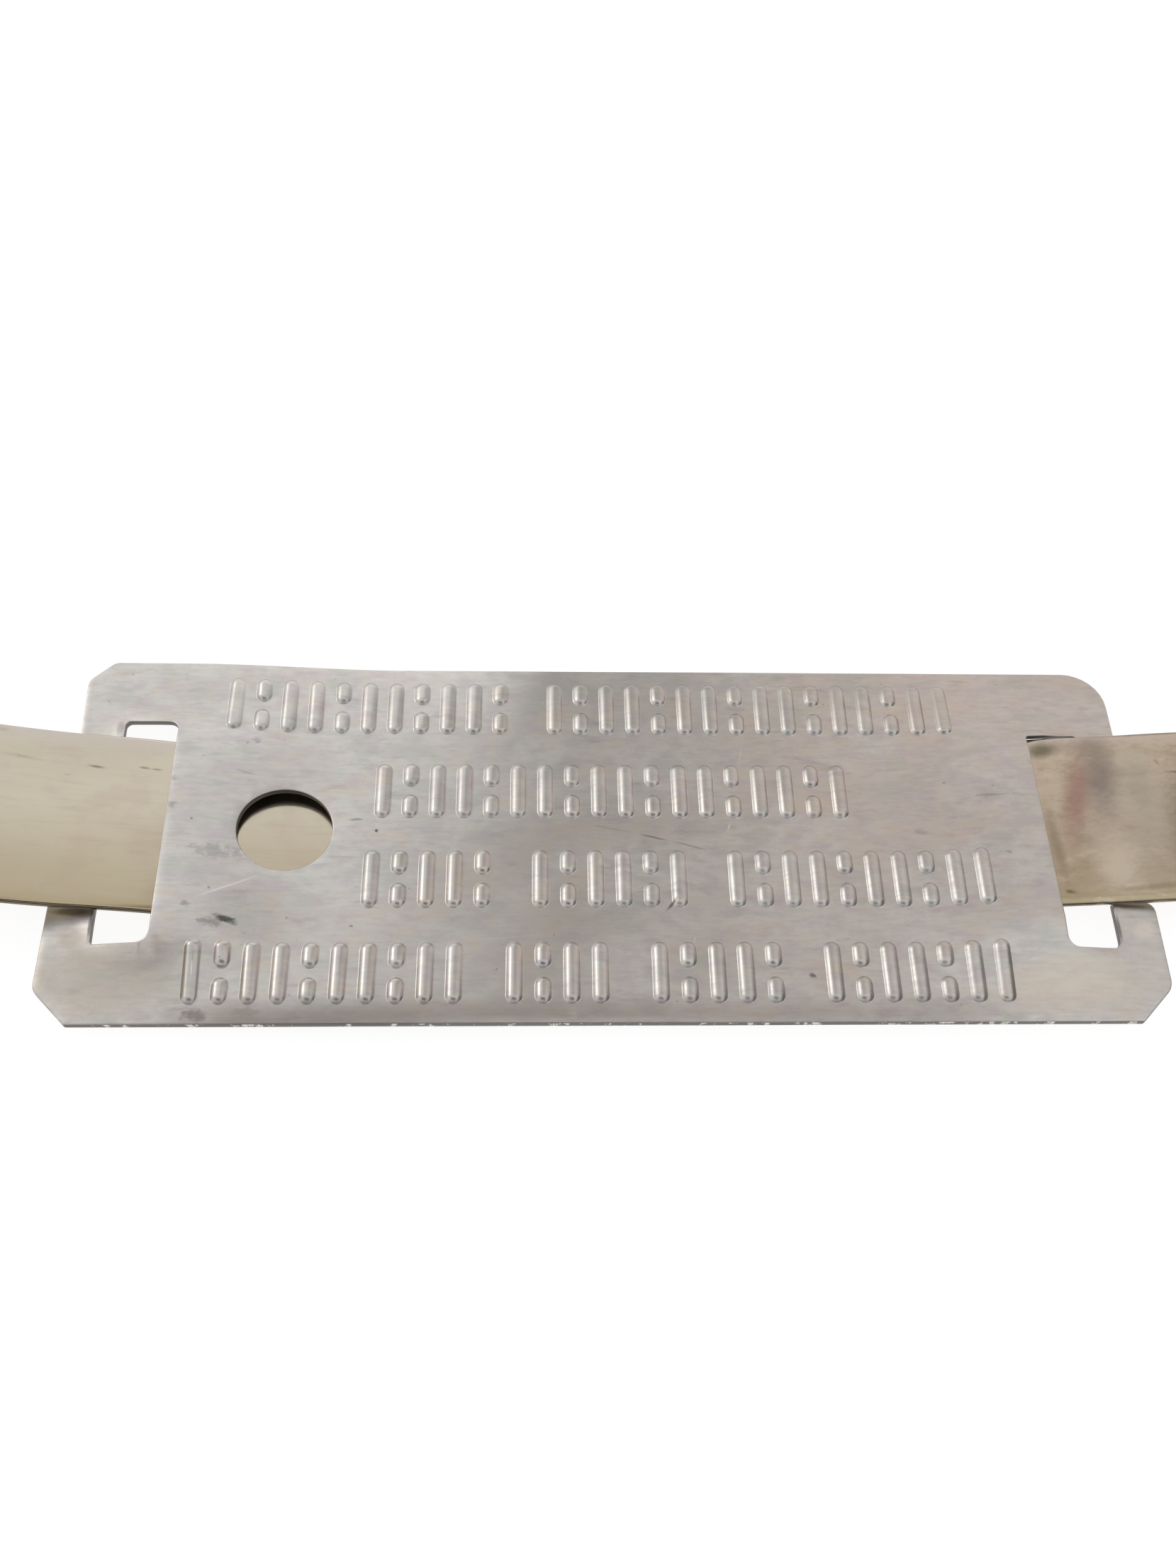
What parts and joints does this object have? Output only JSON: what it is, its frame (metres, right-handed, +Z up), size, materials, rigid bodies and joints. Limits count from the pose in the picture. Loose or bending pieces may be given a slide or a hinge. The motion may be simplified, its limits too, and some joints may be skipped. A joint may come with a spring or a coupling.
{
  "type": "earthing pipe clamp",
  "caption": "Brass strap clamp for earthing a pipe, with a screw-tightened clamp head, a conductor terminal and an aluminium identification label woven on the strap.",
  "frame": {"origin": "on the strap's flat underside, below the middle of the label", "axes": "+X along the strap from the clamp head to the free end, +Y across the strap, +Z up through the label"},
  "size_m": [0.214, 0.0329, 0.0379],
  "materials": {
    "tinned_brass": "tinned, smooth, semi-gloss",
    "mill_aluminium": "mill finish, satin",
    "pressed_brass": "pressed, satin",
    "turned_brass": "turned, bright",
    "plated_steel": "zinc plated"
  },
  "bodies": {
    "strap_body": {"strap": "tinned_brass", "strap_rivet": "turned_brass"},
    "label_plate": {"label": "mill_aluminium"},
    "head": {"clamp_body": "pressed_brass", "anchor_pin": "turned_brass", "tail_pin": "turned_brass"},
    "pad": {"pressure_pad": "pressed_brass"},
    "tension": {"tension_screw": "turned_brass"},
    "lock_ring": {"lock_washer": "plated_steel"},
    "lock": {"lock_nut": "turned_brass"},
    "terminal_clamp": {"terminal_plate": "pressed_brass", "terminal_washer": "plated_steel"},
    "terminal": {"terminal_screw": "turned_brass"}
  },
  "joints": [
    {"name": "label_side_play", "type": "slide", "parent": "strap_body", "child": "label_plate", "axis": [0, 1, 0], "range_m": [0, 0.0016]},
    {"name": "head_swing", "type": "hinge", "parent": "strap_body", "child": "head", "pos_m": [-0.0819, 0, 0.0099], "axis": [0, 1, 0], "range_deg": [-90, 40]},
    {"name": "pad_travel", "type": "slide", "parent": "head", "child": "pad", "axis": [0, 0, 1], "range_m": [-0.004, 0.0049]},
    {"name": "tension_screw_turn", "type": "hinge", "parent": "pad", "child": "tension", "pos_m": [-0.0909, 0, 0.03], "axis": [0, 0, 1], "range_deg": [-1441, 1765]},
    {"name": "lock_washer_travel", "type": "slide", "parent": "head", "child": "lock_ring", "axis": [0, 0, 1], "range_m": [0, 0.003]},
    {"name": "lock_nut_turn", "type": "hinge", "parent": "lock_ring", "child": "lock", "pos_m": [-0.0909, 0, 0.023], "axis": [0, 0, 1], "range_deg": [0, 1081]},
    {"name": "terminal_plate_travel", "type": "slide", "parent": "head", "child": "terminal_clamp", "axis": [0, 0, 1], "range_m": [0, 0.0036]},
    {"name": "terminal_screw_turn", "type": "hinge", "parent": "terminal_clamp", "child": "terminal", "pos_m": [-0.1109, 0, 0.023], "axis": [0, 0, 1], "range_deg": [0, 1621]}
  ],
  "couplings": [
    {"joint": "tension_screw_turn", "follows": "pad_travel", "rad_per_m": 6283.2},
    {"joint": "lock_nut_turn", "follows": "lock_washer_travel", "rad_per_m": 6283.2},
    {"joint": "terminal_screw_turn", "follows": "terminal_plate_travel", "rad_per_m": 7854}
  ]
}
